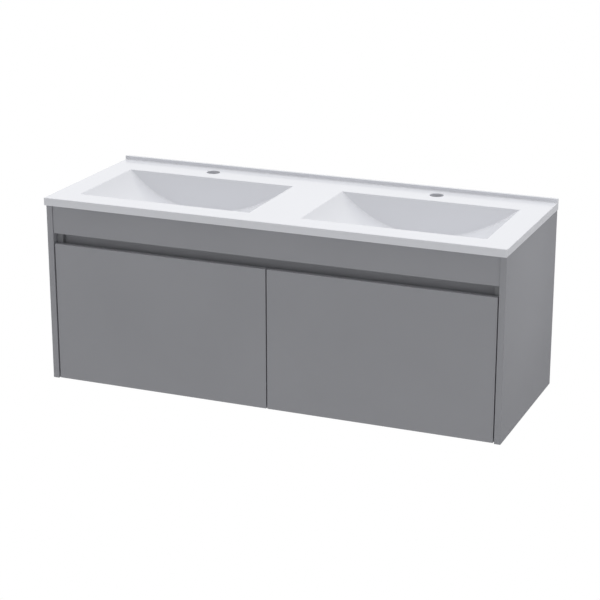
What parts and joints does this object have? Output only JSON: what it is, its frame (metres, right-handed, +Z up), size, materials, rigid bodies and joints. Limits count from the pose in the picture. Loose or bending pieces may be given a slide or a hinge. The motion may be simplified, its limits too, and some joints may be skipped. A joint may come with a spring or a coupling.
{
  "type": "bathroom vanity cabinet",
  "caption": "Wall-hung grey vanity cabinet with a white cast double-basin top, two wide drawers side by side and a recessed finger channel in place of handles.",
  "frame": {"origin": "middle of the hanging rail's back face, which lies flat on the wall", "axes": "+X along the width, to the right as seen from the front; +Y into the wall; +Z up"},
  "size_m": [1.2, 0.45, 0.4903],
  "materials": {
    "cast_white": "smooth white cast mineral with a satin-gloss gelcoat",
    "grey_lacquer": "satin mid-grey lacquer on board",
    "grey_board": "matt mid-grey faced board",
    "drawer_board": "matt light grey faced board",
    "zinc_steel": "bright zinc plate",
    "buffer": "clear soft plastic"
  },
  "bodies": {
    "cabinet": {"basin_top": "cast_white", "centre_divider": "grey_board", "bottom_panel": "grey_board", "fascia_rail": "grey_lacquer", "channel_stretcher": "grey_lacquer", "channel_back_rail": "grey_lacquer", "hanging_rail": "grey_board", "lower_back_rail": "grey_board", "side_panel_left": "grey_lacquer", "carcass_side_left": "grey_board", "hanging_bracket_left": "zinc_steel", "side_panel_right": "grey_lacquer", "carcass_side_right": "grey_board", "hanging_bracket_right": "zinc_steel", "left_runner_inner_cabinet": "zinc_steel", "left_runner_outer_cabinet": "zinc_steel", "right_runner_inner_cabinet": "zinc_steel", "right_runner_outer_cabinet": "zinc_steel"},
    "left_drawer": {"left_drawer_front": "grey_lacquer", "left_drawer_side_inner": "drawer_board", "left_drawer_side_outer": "drawer_board", "left_drawer_back": "drawer_board", "left_drawer_base": "drawer_board", "left_drawer_buffer_upper": "buffer", "left_drawer_buffer_lower": "buffer", "left_drawer_buffer_middle": "buffer", "left_runner_inner_drawer": "zinc_steel", "left_runner_outer_drawer": "zinc_steel"},
    "left_runners": {"left_runner_inner_middle": "zinc_steel", "left_runner_outer_middle": "zinc_steel"},
    "right_drawer": {"right_drawer_front": "grey_lacquer", "right_drawer_side_inner": "drawer_board", "right_drawer_side_outer": "drawer_board", "right_drawer_back": "drawer_board", "right_drawer_base": "drawer_board", "right_drawer_buffer_upper": "buffer", "right_drawer_buffer_lower": "buffer", "right_drawer_buffer_middle": "buffer", "right_runner_inner_drawer": "zinc_steel", "right_runner_outer_drawer": "zinc_steel"},
    "right_runners": {"right_runner_inner_middle": "zinc_steel", "right_runner_outer_middle": "zinc_steel"}
  },
  "joints": [
    {"name": "left_drawer_slide", "type": "slide", "parent": "cabinet", "child": "left_drawer", "axis": [0, -1, 0], "range_m": [0, 0.34]},
    {"name": "left_runners_slide", "type": "slide", "parent": "cabinet", "child": "left_runners", "axis": [0, -1, 0], "range_m": [0, 0.17]},
    {"name": "right_drawer_slide", "type": "slide", "parent": "cabinet", "child": "right_drawer", "axis": [0, -1, 0], "range_m": [0, 0.34]},
    {"name": "right_runners_slide", "type": "slide", "parent": "cabinet", "child": "right_runners", "axis": [0, -1, 0], "range_m": [0, 0.17]}
  ],
  "couplings": [
    {"joint": "left_runners_slide", "follows": "left_drawer_slide", "ratio": 0.5},
    {"joint": "right_runners_slide", "follows": "right_drawer_slide", "ratio": 0.5}
  ]
}
